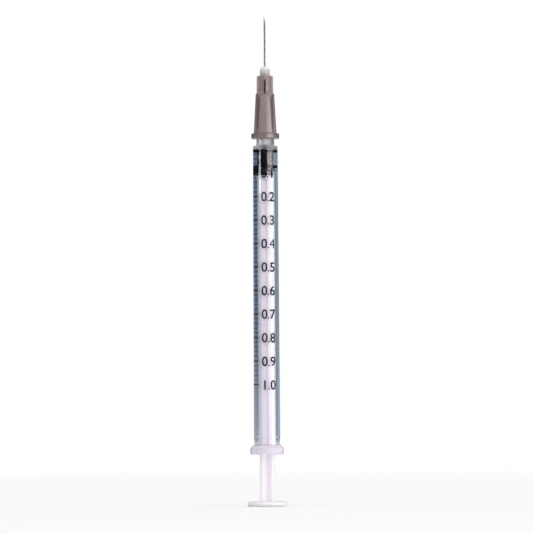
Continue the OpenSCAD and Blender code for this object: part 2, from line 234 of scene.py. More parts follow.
class StageSettings(PropertyGroup):
    """The camera, lamps and floor."""

    distance: length("Camera distance", "Distance from the camera to the syringe", 800)
    aim: length("Aim", "Height on the syringe that the picture is centred on", 58.72)
    aside: length("Aside", "How far the camera aims to the right of the syringe", 0.12)
    tilt: angle("Tilt", "How far the camera looks up", 2.8)
    roll: angle("Roll", "Turn of the camera about its own line of sight", 0.36)
    lens: FloatProperty(name="Lens", description="Focal length in millimetres on a 36 mm sensor",
                        default=220.2, min=20)
    lamp_distance: length("Lamp distance", "Distance from the syringe to the lamps", 1200)
    ambient: FloatProperty(name="Ambient", description="Strength of the soft light from all round",
                           default=0.87, min=0)
    sideways: FloatProperty(name="Sideways", default=-0.02, min=-0.5,
                            description="Added to that strength towards +X, taken off towards -X")
    surroundings: colour("Surroundings", "Colour of the surroundings in gloss",
                         0.022, 0.03, 0.042)
    horizon: colour("Horizon", "Colour of the surroundings in gloss, near the floor",
                    0.2, 0.22, 0.27)


class Millimetres:
    """Reads the lengths of a settings group in millimetres."""

    def __init__(self, group):
        self.group = group

    def __getattr__(self, name):
        return getattr(self.group, name) / MM


def nozzle_radius(z):
    """Radius of the nozzle at a height."""
    barrel = Millimetres(bpy.context.scene.syringe_barrel)
    return (barrel.tip + TAPER_SHARE * (high("barrel").z - z)) / 2


def barrel_radius(z):
    """Radius of the tube's outside at a height."""
    barrel = Millimetres(bpy.context.scene.syringe_barrel)
    flange_top = low("barrel").z + barrel.flange
    shoulder = high("barrel").z - barrel.nozzle_length
    growth = (barrel.wall_base - barrel.wall_top) / (shoulder - flange_top)
    return barrel.bore / 2 + barrel.wall_top + growth * (shoulder - z)


def arc(centre_r, centre_z, radius, start, end, steps=EDGE_STEPS):
    """Points of a round stretch of an outline, from one angle to another in degrees."""
    turns = [radians(start + (end - start) * i / steps) for i in range(steps + 1)]
    return [(centre_r + radius * cos(a), centre_z + radius * sin(a)) for a in turns]


def rim_points(radius, low_z, high_z, rounding):
    """The outline of a disc's rim with rounded corners, from its lower edge up."""
    return [*arc(radius - rounding, low_z + rounding, rounding, -90, 0),
            *arc(radius - rounding, high_z - rounding, rounding, 0, 90)]


def spun(bm, parts, turn, steps, **merging):
    """Spins parts of a bmesh round Z."""
    bmesh.ops.spin(bm, geom=parts, axis=(0, 0, 1), cent=(0, 0, 0), dvec=(0, 0, 0), angle=turn,
                   steps=steps, **merging)


def turned(outline, closed=False, around=AROUND):
    """A bmesh turned round Z from an outline of (radius, height) points."""
    bm = bmesh.new()
    verts = [bm.verts.new((r, 0, z)) for r, z in outline]
    pairs = list(zip(verts, verts[1:])) + ([(verts[-1], verts[0])] if closed else [])
    edges = [bm.edges.new(pair) for pair in pairs]
    spun(bm, verts + edges, 2 * pi, around, use_merge=True)
    bmesh.ops.remove_doubles(bm, verts=bm.verts, dist=TOUCH)
    bmesh.ops.recalc_face_normals(bm, faces=bm.faces)
    return bm


def disc(radius, low_z, high_z, rounding):
    """A solid disc with a rounded rim."""
    return turned([(0, low_z), *rim_points(radius, low_z, high_z, rounding), (0, high_z)])


def swing(bm, turn):
    """Turns a whole bmesh round Z."""
    bmesh.ops.rotate(bm, cent=(0, 0, 0), matrix=Matrix.Rotation(turn, 3, "Z"), verts=bm.verts)


def grow(bm, faces, vector, **keeping):
    """Extrudes faces along a vector and gives the new vertices."""
    grown = bmesh.ops.extrude_face_region(bm, geom=faces, **keeping)["geom"]
    verts = [part for part in grown if isinstance(part, bmesh.types.BMVert)]
    bmesh.ops.translate(bm, vec=vector, verts=verts)
    return verts


def cut_away(bm, faces, point, normal):
    """Cuts off what lies past a plane, among these faces, and closes the cut."""
    parts = set(faces)
    for face in faces:
        parts.update(face.edges)
        parts.update(face.verts)
    bmesh.ops.bisect_plane(bm, geom=list(parts), dist=TOUCH, plane_co=point,
                           plane_no=normal, clear_outer=True)
    rims = [edge for edge in bm.edges if edge.is_boundary]
    bmesh.ops.holes_fill(bm, edges=rims, sides=0)


def soften(bm, edges, width, segments=3):
    """Rounds these edges."""
    bmesh.ops.bevel(bm, geom=edges, offset=width, offset_type="OFFSET", segments=segments,
                    profile=0.5, affect="EDGES", material=-1, clamp_overlap=True)


def sharp_edges(bm, least, test):
    """Edges whose faces meet at more than an angle in degrees and that pass a test."""
    limit = radians(least)
    return [e for e in bm.edges
            if len(e.link_faces) == 2 and e.calc_face_angle() > limit and test(e)]


def meshed(name, bm):
    """A mesh made of a bmesh, which is freed."""
    mesh = bpy.data.meshes.new(name)
    bm.to_mesh(mesh)
    bm.free()
    return mesh


def linked(name, data):
    """A new object in the scene that holds some data."""
    piece = bpy.data.objects.new(name, data)
    bpy.context.scene.collection.objects.link(piece)
    return piece


def current(holder):
    """The mesh of an object as its modifiers or its text settings make it."""
    bpy.context.view_layer.update()
    evaluated = holder.evaluated_get(bpy.context.evaluated_depsgraph_get())
    bm = bmesh.new()
    bm.from_mesh(evaluated.to_mesh())
    return bm


def combined(base, others, operation="UNION"):
    """The first bmesh joined with the others, or cut by them, as one bmesh."""
    names = [f"helper_{i}" for i in range(len(others) + 1)]
    helpers = [linked(name, meshed(name, bm)) for name, bm in zip(names, [base, *others])]
    for other in helpers[1:]:
        modifier = helpers[0].modifiers.new(other.name, "BOOLEAN")
        modifier.operation = operation
        modifier.solver = "EXACT"
        modifier.object = other
    result = current(helpers[0])
    for helper in helpers:
        mesh = helper.data
        bpy.data.objects.remove(helper)
        bpy.data.meshes.remove(mesh)
    bmesh.ops.remove_doubles(result, verts=result.verts, dist=TOUCH)
    return result


def finished(name, bm, body, material, replaced=(), crease=32):
    """Makes a piece of a bmesh in millimetres, with its material, and ties it to its body."""
    bmesh.ops.scale(bm, vec=(MM, MM, MM), verts=bm.verts)
    mesh = meshed(name, bm)
    mesh.shade_smooth()
    mesh.set_sharp_from_angle(angle=radians(crease))
    piece = linked(name, mesh)
    mesh.materials.append(material)
    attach(piece, body)
    if replaced:
        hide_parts(*replaced)
    return piece


class Nodes:
    """Builds the nodes of a material or of the world, from outputs and plain values."""

    def __init__(self, tree, coordinates):
        self.tree = tree
        self.place = self.add("ShaderNodeTexCoord").outputs[coordinates]

    def add(self, kind, **values):
        """A new node with its settings."""
        node = self.tree.nodes.new(kind)
        for name, value in values.items():
            setattr(node, name, value)
        return node

    def link(self, source, target):
        """Joins an output to an input."""
        self.tree.links.new(source, target)

    def feed(self, value, socket):
        """Puts a number, a colour or an output on an input."""
        if isinstance(value, bpy.types.NodeSocket):
            self.link(value, socket)
        elif socket.type == "RGBA":
            socket.default_value = (*value, 1)
        else:
            socket.default_value = value

    def axis(self, name):
        """How far a place lies along an axis, in metres on an object."""
        split = self.add("ShaderNodeSeparateXYZ")
        self.link(self.place, split.inputs["Vector"])
        return split.outputs[name]

    def ray(self, name):
        """What kind of ray sees the surface, or how often it has turned."""
        return self.add("ShaderNodeLightPath").outputs[name]

    def ranged(self, source, from_low, from_high, to_low=0, to_high=1, smooth=False):
        """A value moved from one range to another."""
        node = self.add("ShaderNodeMapRange",
                        interpolation_type="SMOOTHSTEP" if smooth else "LINEAR")
        for name, value in (("From Min", from_low), ("From Max", from_high),
                            ("To Min", to_low), ("To Max", to_high)):
            node.inputs[name].default_value = value
        self.link(source, node.inputs["Value"])
        return node.outputs["Result"]

    def between(self, source, start, end, first=0, last=1, smooth=False):
        """A value that goes from first to last between two places given in millimetres."""
        return self.ranged(source, start * MM, end * MM, first, last, smooth)

    def mixed(self, factor, first, second):
        """Two colours mixed by a mask."""
        node = self.add("ShaderNodeMix", data_type="RGBA")
        self.link(factor, node.inputs["Factor"])
        self.feed(first, node.inputs[6])
        self.feed(second, node.inputs[7])
        return node.outputs[2]

    def calc(self, operation, *values):
        """The result of one sum on these values."""
        node = self.add("ShaderNodeMath", operation=operation)
        for value, socket in zip(values, node.inputs):
            self.feed(value, socket)
        return node.outputs["Value"]

    def times(self, first, second):
        """Two values multiplied."""
        return self.calc("MULTIPLY", first, second)

    def none_of(self, count):
        """One where a whole number is nought, or else nought."""
        return self.calc("LESS_THAN", count, 0.5)

    def shown(self):
        """One for what the camera sees directly or straight through something clear."""
        straight = self.none_of(
            self.calc("ADD", self.ray("Diffuse Depth"), self.ray("Glossy Depth")))
        through = self.times(self.ray("Is Transmission Ray"), straight)
        return self.calc("MAXIMUM", self.ray("Is Camera Ray"), through)


class Finish(Nodes):
    """A procedural material round one Principled shader."""

    def __init__(self, name):
        self.material = bpy.data.materials.new(name)
        self.material.use_nodes = True
        super().__init__(self.material.node_tree, "Object")
        self.shader = self.tree.nodes["Principled BSDF"]
        self.surface = self.tree.nodes["Material Output"].inputs["Surface"]

    def set(self, **values):
        """Sets plain numbers and colours on the shader's own sockets."""
        for name, value in values.items():
            self.shader.inputs[name.replace("_", " ")].default_value = value

    def noise(self, scale, detail=3.0, stretch=(1, 1, 1)):
        """A noise pattern in the piece's own coordinates, stretched along an axis."""
        mapping = self.add("ShaderNodeMapping")
        mapping.inputs["Scale"].default_value = stretch
        self.link(self.place, mapping.inputs["Vector"])
        pattern = self.add("ShaderNodeTexNoise")
        pattern.inputs["Scale"].default_value = scale
        pattern.inputs["Detail"].default_value = detail
        self.link(mapping.outputs["Vector"], pattern.inputs["Vector"])
        return pattern.outputs["Fac"]

    def mottled(self, pattern, start, end, tint, share):
        """A tint that a pattern turns into a share of itself in places."""
        return self.mixed(self.ranged(pattern, start, end), tint, scaled(tint, share))

    def paint(self, source):
        """Links a pattern to the base colour."""
        self.link(source, self.shader.inputs["Base Color"])

    def rough(self, source):
        """Links a pattern to the roughness."""
        self.link(source, self.shader.inputs["Roughness"])

    def wear(self, pattern, smoothest, roughest):
        """Makes the surface smoother and rougher in a pattern."""
        self.rough(self.ranged(pattern, 0.3, 0.7, smoothest, roughest))

    def bumps(self, pattern, strength, depth):
        """Raises the surface in a pattern, by a depth in millimetres."""
        node = self.add("ShaderNodeBump")
        node.inputs["Strength"].default_value = strength
        node.inputs["Distance"].default_value = depth * MM
        self.link(pattern, node.inputs["Height"])
        self.link(node.outputs["Normal"], self.shader.inputs["Normal"])

    def lets_lamps_through(self, veil):
        """Lets lamp light through the clear surface, weakened a little at each crossing."""
        film = self.add("ShaderNodeBsdfTransparent")
        film.inputs["Color"].default_value = (*veil, 1)
        mix = self.add("ShaderNodeMixShader")
        self.link(self.ray("Is Shadow Ray"), mix.inputs["Fac"])
        self.link(self.shader.outputs["BSDF"], mix.inputs[1])
        self.link(film.outputs["BSDF"], mix.inputs[2])
        self.link(mix.outputs["Shader"], self.surface)

    def glow(self, tint, strength=1.0):
        """Makes the surface give plain light, in place of the shader."""
        lamp = self.add("ShaderNodeEmission")
        lamp.inputs["Strength"].default_value = strength
        self.link(tint, lamp.inputs["Color"])
        self.link(lamp.outputs["Emission"], self.surface)


def scaled(tint, share):
    """A colour made darker or lighter."""
    return tuple(min(1, part * share) for part in tint)


def clear_plastic(settings):
    """Clear polypropylene, hazy where it is thick. Its slate blue along the tube's edge is partly
    the longer path through the wall and partly painted shade, and it has painted shade on the
    nozzle's sides, over the floor and towards the flange's flats.
    """
    barrel = Millimetres(settings)
    flange_z = low("barrel").z + barrel.flange
    floor_z = low("barrel").z + barrel.depth
    foot_z = floor_z + barrel.floor
    finish = Finish("clear_plastic")
    finish.set(IOR=PLASTIC_IOR, Subsurface_Weight=0.7, Subsurface_Scale=0.8 * MM,
               Subsurface_Radius=(1.0, 0.95, 1.0))
    z = finish.axis("Z")
    facing = finish.add("ShaderNodeLayerWeight").outputs["Facing"]
    # Masks: the thin wall of the tube, its edge above the foot, which gets the slate tint with its
    # painted shade, and how far up a place is
    tube = finish.times(finish.between(z, flange_z - 0.1, flange_z + 0.05),
                        finish.between(z, floor_z - 0.45, floor_z - 0.1, 1, 0))
    edge = finish.times(finish.ranged(facing, 0.22, 0.36, smooth=True),
                        finish.times(tube, finish.between(z, flange_z + 0.4, flange_z + 1.0)))
    upper = finish.between(z, flange_z, floor_z)
    # Painted shade: the nozzle is darker at its sides, less so at its foot, and in its middle over
    # the floor
    sides = finish.times(finish.ranged(facing, 0.12, 0.42, smooth=True),
                         finish.between(z, foot_z, foot_z + 0.4, 0.35, 1))
    core_shade = finish.times(finish.ranged(facing, 0.1, 0.35, 1, 0),
                        finish.between(z, floor_z + 0.2, floor_z + 0.9, 1, 0))
    nozzle = finish.mixed(sides, settings.nozzle_tint, scaled(settings.nozzle_tint, 0.5))
    nozzle = finish.mixed(core_shade, nozzle, scaled(settings.nozzle_tint, 0.3))
    # Painted shade: the flange is darker towards its flats
    ends = finish.between(finish.calc("ABSOLUTE", finish.axis("X")), 3.4, 4.1)
    flange = finish.mixed(ends, settings.flange_tint, scaled(settings.flange_tint, 0.72))
    thick = finish.mixed(upper, flange, nozzle)
    wall = finish.mottled(finish.noise(900), 0.35, 0.7, settings.tint, 0.985)
    body = finish.mixed(tube, thick, wall)
    # Lays the slate edge tint, partly painted shade, over the tube's edge
    finish.paint(finish.mixed(edge, body, settings.edge_tint_and_shade))
    dull = finish.ranged(upper, 0, 1, 1 - settings.flange_clear, 1 - settings.nozzle_clear)
    clear = finish.ranged(finish.times(finish.ranged(tube, 0, 1, 1, 0), dull), 0, 1, 1, 0)
    finish.link(clear, finish.shader.inputs["Transmission Weight"])
    worn = finish.ranged(finish.noise(420, 4), 0.3, 0.7, 0, 0.03)
    finish.rough(finish.calc("ADD", worn, finish.ranged(tube, 0, 1, 0.28, 0.015)))
    finish.bumps(finish.noise(260, 2, (1, 1, 0.12)), 0.03, 0.05)
    finish.lets_lamps_through((0.98, 0.98, 0.985))
    return finish.material


def printed_ink(settings):
    """Printed ink, a little thinner in places."""
    finish = Finish("scale_ink")
    finish.set(Roughness=0.7, Specular_IOR_Level=0.05)
    finish.paint(finish.mottled(finish.noise(5200, 4), 0.35, 0.75, settings.ink, 1.8))
    finish.bumps(finish.noise(9000), 0.15, 0.01)
    return finish.material


def black_rubber(settings):
    """Smooth moulded rubber under a film of oil."""
    finish = Finish("gasket_rubber")
    finish.set(Specular_IOR_Level=0.18)
    finish.paint(finish.mottled(finish.noise(1500), 0.35, 0.7, settings.rubber, 1.9))
    finish.wear(finish.noise(2600, 4), 0.26, 0.4)
    finish.bumps(finish.noise(5200, 4), 0.1, 0.01)
    return finish.material


def milky_plastic(settings):
    """Milky white moulding that light sinks into a little, with faint streaks along it."""
    finish = Finish("rod_plastic")
    finish.set(IOR=PLASTIC_IOR, Specular_IOR_Level=0.35, Subsurface_Weight=1.0,
               Subsurface_Scale=2.0 * MM, Subsurface_Radius=(1.0, 0.9, 1.0))
    streaks = finish.noise(700, stretch=(1, 1, 0.06))
    finish.paint(finish.mottled(streaks, 0.3, 0.75, settings.plastic, 0.95))
    finish.wear(finish.noise(1900, 4), 0.38, 0.5)
    finish.bumps(finish.noise(1200, stretch=(1, 1, 0.1)), 0.12, 0.02)
    return finish.material


def hub_plastic(settings):
    """Translucent grey-brown moulding, darker on its thick collar, with painted shade on the lugs,
    the fins' ends and along the panel rims, painted light on the fins above the cone, and a paler
    nose that is partly painted light.
    """
    hub, plastic = Millimetres(settings), settings.plastic
    collar_z = low("needle_hub").z + hub.collar_height
    cone_z = low("needle_hub").z + hub.cone_up
    fins_z = cone_z + hub.fin_length
    half_fin = hub.fin / 2
    finish = Finish("hub_plastic")
    finish.set(IOR=PLASTIC_IOR, Transmission_Weight=0.2, Subsurface_Weight=0.15,
               Subsurface_Scale=0.3 * MM, Subsurface_Radius=(1.0, 0.85, 0.8),
               Coat_Weight=0.8, Coat_Roughness=0.13)
    z = finish.axis("Z")
    x, y = (finish.calc("ABSOLUTE", finish.axis(name)) for name in "XY")
    across, outer = finish.calc("MINIMUM", x, y), finish.calc("MAXIMUM", x, y)
    # Masks of the nose, the fins, the fins' outer edges, the lugs and the collar
    # The nose's mask: its paler tint is partly thin plastic and partly painted light
    nose = finish.between(z, fins_z - 0.4, fins_z + 1.6)
    # Painted light: the fins are lighter just above the cone
    fins = finish.times(finish.between(z, cone_z + 0.6, cone_z + 1.3),
                        finish.between(outer, 1.3, 1.7))
    # Painted shade: a dark strip down the fins' outer ends, low on the fins
    fin_end_shade = finish.times(finish.between(across, half_fin - 0.12, half_fin - 0.02, 1, 0), fins)
    fin_end_shade = finish.times(fin_end_shade, finish.between(z, fins_z - 1.6, fins_z - 0.6, 1, 0))
    # Painted shade: the lugs are darker
    lugs = finish.times(finish.between(x, 2.4, 3.2, 0, 0.7),
                        finish.between(z, collar_z, collar_z + 0.1, 1, 0))
    collar = finish.between(z, collar_z, collar_z + 0.1, 0.4, 0)
    # Mask of painted shade along the grip panels' rims, for the dark lines at their edges: straight
    # edges that end in an arch, fading to the collar
    half = finish.between(z, collar_z, cone_z, hub.panel_base / 2 * MM, hub.panel_top / 2 * MM)
    share = finish.calc("DIVIDE", across, half)
    fall = finish.ranged(finish.times(share, share), 0, 1, (cone_z + hub.arch) * MM, cone_z * MM)
    beside, above = (finish.calc("ABSOLUTE", finish.calc("SUBTRACT", place, line))
                     for place, line in ((across, half), (z, fall)))
    flank_shade = finish.times(finish.between(beside, 0.05, 0.26, 1, 0, smooth=True),
                          finish.between(z, cone_z - 0.2, cone_z + 0.2, 1, 0))
    arch = finish.times(finish.between(above, 0.05, 0.22, 1, 0, smooth=True),
                        finish.ranged(share, 0.9, 1.1, 1, 0))
    rims = finish.times(finish.calc("MAXIMUM", flank_shade, arch),
                        finish.between(z, collar_z, collar_z + 1.5))
    body = finish.mottled(finish.noise(650, 4, (1, 1, 0.18)), 0.3, 0.72, plastic, 0.85)
    # Lays the tints on the body: the paler nose, partly painted light; painted light on the fins;
    # painted shade on the fins' ends, the lugs and the panel rims; and the darker thick collar
    for mask, tint in ((nose, settings.nose_tint), (fins, scaled(plastic, 1.2)),
                       (fin_end_shade, scaled(plastic, 0.08)), (lugs, scaled(plastic, 0.25)),
                       (collar, scaled(plastic, 0.3)),
                       (finish.ranged(rims, 0, 1, 0, 0.75), scaled(plastic, 0.3))):
        body = finish.mixed(mask, body, tint)
    finish.paint(body)
    finish.wear(finish.noise(2300, 4), 0.26, 0.36)
    finish.bumps(finish.noise(1700), 0.1, 0.02)
    finish.lets_lamps_through((0.5, 0.45, 0.43))
    return finish.material


def needle_steel(settings):
    """Drawn and polished steel with fine lines along the tube."""
    finish = Finish("needle_steel")
    finish.set(Metallic=1.0)
    lines = finish.noise(42000, stretch=(1, 1, 0.012))
    finish.paint(finish.mottled(lines, 0.35, 0.7, settings.steel, 0.8))
    finish.wear(lines, 0.24, 0.34)
    finish.bumps(lines, 0.08, 0.002)
    return finish.material


def cured_glue(settings):
    """Cured glue, glossy and a little milky."""
    finish = Finish("adhesive")
    finish.set(IOR=1.5, Subsurface_Weight=0.4, Subsurface_Scale=0.6 * MM)
    finish.paint(finish.mottled(finish.noise(2200), 0.35, 0.7, settings.glue, 0.93))
    finish.wear(finish.noise(3000), 0.16, 0.28)
    finish.bumps(finish.noise(1800, 2), 0.06, 0.02)
    return finish.material


def ridge_points(barrel, bore_r, middle_z, steps=8):
    """The soft ridge that keeps the plunger in, from its lower foot up."""
    swell = [(bore_r - barrel.ridge * (1 + cos(pi * (2 * i / steps - 1))) / 2,
              middle_z + barrel.ridge_length * (i / steps - 0.5)) for i in range(steps + 1)]
    return [(bore_r, swell[0][1] - barrel.ridge / 2), *swell,
            (bore_r, swell[-1][1] + barrel.ridge / 2)]


def barrel_outline(barrel):
    """The closed outline of the barrel: up its bore, over the nozzle, down its outside."""
    open_z, nozzle_z = low("barrel").z, high("barrel").z
    bore_r, channel_r = barrel.bore / 2, barrel.channel / 2
    flange_z, shoulder_z = open_z + barrel.flange, nozzle_z - barrel.nozzle_length
    floor_z, flange_r = open_z + barrel.depth, high("barrel").y
    tip_r = nozzle_radius(nozzle_z) - barrel.tip_edge
    tube_r = barrel_radius(shoulder_z - barrel.shoulder)
    foot = barrel.foot
    return [
        (bore_r + barrel.lead_in, open_z), (bore_r, open_z + barrel.lead_in),
        *ridge_points(barrel, bore_r, open_z + barrel.ridge_up),
        (bore_r, floor_z - barrel.dish),
        (channel_r, floor_z - barrel.dish * channel_r / bore_r), (channel_r, nozzle_z),
        *arc(tip_r, nozzle_z - barrel.tip_edge, barrel.tip_edge, 90, 0),
        *arc(nozzle_radius(shoulder_z) + foot, shoulder_z + foot, foot, 180, 270),
        *arc(tube_r - barrel.shoulder, shoulder_z - barrel.shoulder, barrel.shoulder, 90, 0),
        *arc(barrel_radius(flange_z) + foot, flange_z + foot, foot, 180, 270),
        (flange_r - barrel.slope, flange_z), (flange_r, flange_z - barrel.slope),
        (flange_r, open_z + barrel.soft_edge), (flange_r - barrel.soft_edge, open_z),
    ]


def barrel_mesh(barrel):
    """The tube with its nozzle, and a finger flange with two flats."""
    bm = turned(barrel_outline(barrel), closed=True)
    open_z, flat_x = low("barrel").z, high("barrel").x
    flange_z = open_z + barrel.flange
    for side in (-1, 1):
        cuts = [((side * flat_x, 0, 0), (side, 0, 0)),
                ((side * (flat_x - barrel.slope), 0, flange_z), (side, 0, 1)),
                ((side * (flat_x - barrel.soft_edge), 0, open_z), (side, 0, -1))]
        for point, normal in cuts:
            flange = [f for f in bm.faces if all(v.co.z < flange_z + TOUCH for v in f.verts)]
            cut_away(bm, flange, point, Vector(normal).normalized())
    rim = sharp_edges(bm, 25, lambda e: all(
        v.co.z < flange_z + TOUCH and hypot(v.co.x, v.co.y) > flat_x - barrel.slope - TOUCH
        for v in e.verts))
    soften(bm, rim, barrel.soft_edge)
    return bm


class SYRINGE_OT_barrel(Operator):
    """Models the clear barrel with its finger flange and nozzle"""

    bl_idname = "syringe.barrel"
    bl_label = "Barrel"
    bl_options = {"REGISTER", "UNDO"}

    def execute(self, context):
        settings = context.scene.syringe_barrel
        piece = finished("barrel_tube", barrel_mesh(Millimetres(settings)), "barrel",
                         clear_plastic(settings), ["barrel"])
        piece.modifiers.new("even_normals", "WEIGHTED_NORMAL").keep_sharp = True
        return {"FINISHED"}


# Angles of the two digits and of the point between them, from the front towards +X, in degrees
FIRST_DEG, POINT_DEG, SECOND_DEG = -7.8, 10.4, 30.2
# Characters whose strokes aren't widened
PLAIN_CHARACTERS = ".4"
# Steps of each curve in a character
CURVE_STEPS = 5


def typed(character, size):
    """A text object of one character."""
    text = bpy.data.curves.new("glyph", "FONT")
    text.body = character
    text.size = size
    return linked("glyph", text)


def discard(holder):
    """Removes a text object and its text."""
    text = holder.data
    bpy.data.objects.remove(holder)
    bpy.data.curves.remove(text)


def glyph(character, width_share, size, bold, ink, strip):
    """One printed character as a thin closed mesh in strips that can bend round the barrel."""
    holder = typed(character, size)
    holder.data.extrude = ink / 2
    holder.data.offset = bold
    holder.data.resolution_u = CURVE_STEPS
    bm = current(holder)
    discard(holder)
    bmesh.ops.remove_doubles(bm, verts=bm.verts, dist=TOUCH)
    bmesh.ops.scale(bm, vec=(width_share, 1, 1), verts=bm.verts)
    across = [v.co.x for v in bm.verts]
    middle = (min(across) + max(across)) / 2
    bmesh.ops.translate(bm, vec=(-middle, 0, 0), verts=bm.verts)
    steps = int((max(across) - min(across)) / 2 / strip)
    for i in range(-steps, steps + 1):
        parts = [*bm.verts, *bm.edges, *bm.faces]
        bmesh.ops.bisect_plane(bm, geom=parts, dist=TOUCH, plane_co=(i * strip, 0, 0),
                               plane_no=(1, 0, 0))
    return bm


def glyph_size(character):
    """Width and height of a character at size one, and how far it stands off its line."""
    holder = typed(character, 1.0)
    bpy.context.view_layer.update()
    wide, tall = holder.dimensions.x, holder.dimensions.y
    foot = min(corner[1] for corner in holder.bound_box)
    discard(holder)
    return wide, tall, foot


def wrap(bm, turn, base_z, gap):
    """Bends a flat glyph round the barrel: across becomes round, and up stays up."""
    for vert in bm.verts:
        z = base_z + vert.co.y
        radius = barrel_radius(z) + gap + vert.co.z
        way = radians(turn) + vert.co.x / barrel_radius(z)
        vert.co = (radius * sin(way), -radius * cos(way), z)


def numbers_mesh(scale):
    """The ten printed numbers, each centred a little below its mark."""
    wide, tall, foot = glyph_size("0")
    size = scale.height / tall
    width_share = scale.digit / (wide * size)
    zero_z = high("plunger_gasket").z - Millimetres(bpy.context.scene.syringe_gasket).nose
    numbers = bmesh.new()
    for tenth in range(1, 11):
        base_z = zero_z - scale.span * tenth / 10 - scale.drop - scale.height / 2 - foot * size
        digits = f"{tenth / 10:.1f}"
        for character, turn in zip(digits, (FIRST_DEG, POINT_DEG, SECOND_DEG)):
            bold = 0 if character in PLAIN_CHARACTERS else scale.bold
            bm = glyph(character, width_share, size, bold, scale.film, scale.slice)
            wrap(bm, turn, base_z, scale.gap + scale.film / 2)
            part = meshed("part", bm)
            numbers.from_mesh(part)
            bpy.data.meshes.remove(part)
    bmesh.ops.recalc_face_normals(numbers, faces=numbers.faces)
    return numbers


class SYRINGE_OT_scale(Operator):
    """Prints the numbers on the barrel and inks the marks"""

    bl_idname = "syringe.scale"
    bl_label = "Scale"
    bl_options = {"REGISTER", "UNDO"}

    def execute(self, context):
        settings = context.scene.syringe_scale
        ink = printed_ink(settings)
        finished("scale_numbers", numbers_mesh(Millimetres(settings)), "barrel", ink)
        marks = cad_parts["scale_lines"]
        marks.data.materials.clear()
        marks.data.materials.append(ink)
        return {"FINISHED"}


# Lean towards -X, as a share, where the rubber starts to be pressed out and where it fully is
PRESSED = (0.33, 0.53)
# Rounding of the wiper as a share of its height
WIPER_ROUND = 0.45
# Share of the gasket's radius at which its shallow cone has a ring of points
CONE_RING = 0.8
# Share of the head and of its pocket that is straight, and the width at the end as a share
HEAD_STRAIGHT, HEAD_END = 0.4, 0.45
POCKET_STRAIGHT, POCKET_END = 0.45, 0.5


def press(bm, top_z, skirt_r, rib_r, soft):
    """Presses the rubber below a height out to the bore, on its -X side."""
    start, full = PRESSED
    for vert in bm.verts:
        out = hypot(vert.co.x, vert.co.y)
        if vert.co.z > top_z or out < skirt_r - 1.5 * soft:
            continue
        share = min(1, max(0, (-vert.co.x / out - start) / (full - start)))
        grown = min(rib_r, out + share * (rib_r - skirt_r)) / out
        vert.co.x, vert.co.y = vert.co.x * grown, vert.co.y * grown


def gasket_mesh(gasket, rod):
    """Nose, two sealing ribs, thin wiper and skirt, with the pocket for the rod's head."""
    foot_z, nose_z = low("plunger_gasket").z, high("plunger_gasket").z
    seal_r = high("plunger_gasket").x
    rib_r = Millimetres(bpy.context.scene.syringe_barrel).bore / 2 + gasket.seal
    recess_r, groove_r = seal_r - gasket.recess_depth, seal_r - gasket.groove_depth
    skirt_r = seal_r - gasket.skirt_depth
    front_z = nose_z - gasket.nose
    recess_top = front_z - gasket.front_rib
    rear_top = recess_top - gasket.recess
    rear_low = rear_top - gasket.rear_rib
    wiper_top = rear_low - gasket.groove
    wiper_low = wiper_top - gasket.wiper
    soft, small = gasket.rounding, gasket.wiper * WIPER_ROUND
    neck_r, head_r = rod.neck / 2 + gasket.play, rod.head / 2 + gasket.play
    pocket_z = foot_z + gasket.lip
    pocket_top = pocket_z + 2 * gasket.play + rod.head_length
    bm = turned([
        (0, nose_z), (rib_r * CONE_RING, front_z + gasket.nose * (1 - CONE_RING)),
        *reversed(rim_points(rib_r, recess_top, front_z, soft)),
        *arc(recess_r + soft, recess_top - soft, soft, 90, 180),
        *arc(recess_r + soft, rear_top + soft, soft, 180, 270),
        *reversed(rim_points(rib_r, rear_low, rear_top, soft)),
        (groove_r, rear_low - small), (groove_r, wiper_top + small),
        *reversed(rim_points(rib_r, wiper_low, wiper_top, small)),
        *arc(skirt_r + small, wiper_low - small, small, 90, 180),
        *arc(skirt_r - soft, foot_z + soft, soft, 0, -90),
        (neck_r + soft, foot_z), (neck_r, foot_z + soft), (neck_r, pocket_z), (head_r, pocket_z),
        (head_r, pocket_z + rod.head_length * POCKET_STRAIGHT),
        (head_r * POCKET_END, pocket_top), (0, pocket_top),
    ])
    press(bm, rear_low + soft, skirt_r, rib_r, soft)
    return bm


class SYRINGE_OT_gasket(Operator):
    """Models the rubber gasket"""

    bl_idname = "syringe.gasket"
    bl_label = "Gasket"
    bl_options = {"REGISTER", "UNDO"}

    def execute(self, context):
        settings = context.scene.syringe_gasket
        bm = gasket_mesh(Millimetres(settings), Millimetres(context.scene.syringe_rod))
        finished("rubber_gasket", bm, "gasket", black_rubber(settings),
                 ["plunger_gasket"])
        return {"FINISHED"}


def rib_cross(rod, low_z, high_z):
    """The four ribs: a quarter of their outline, repeated four times and drawn out along Z."""
    half, edge, foot = rod.rib / 2, rod.rib_edge, rod.rib_foot
    tip_deg = degrees(asin((half - edge) / (rod.reach - edge)))
    side_r = (rod.reach - edge) * cos(radians(tip_deg))
    upper = [*arc(0, 0, rod.reach, 0, tip_deg, 3),
             *arc(side_r, half - edge, edge, tip_deg, 90, 3)[1:],
             *arc(half + foot, half + foot, foot, 270, 225, 3)]
    quarter = [(x, -y) for x, y in reversed(upper[1:])] + upper
    bm = bmesh.new()
    verts = [bm.verts.new((x, y, low_z)) for x, y in quarter]
    edges = [bm.edges.new(pair) for pair in zip(verts, verts[1:])]
    spun(bm, verts + edges, 2 * pi, 4, use_duplicate=True)
    bmesh.ops.remove_doubles(bm, verts=bm.verts, dist=TOUCH * 10)
    base = bmesh.ops.contextual_create(bm, geom=bm.edges[:])["faces"]
    grow(bm, base, (0, 0, high_z - low_z))
    swing(bm, pi / 4)
    bmesh.ops.recalc_face_normals(bm, faces=bm.faces)
    return bm


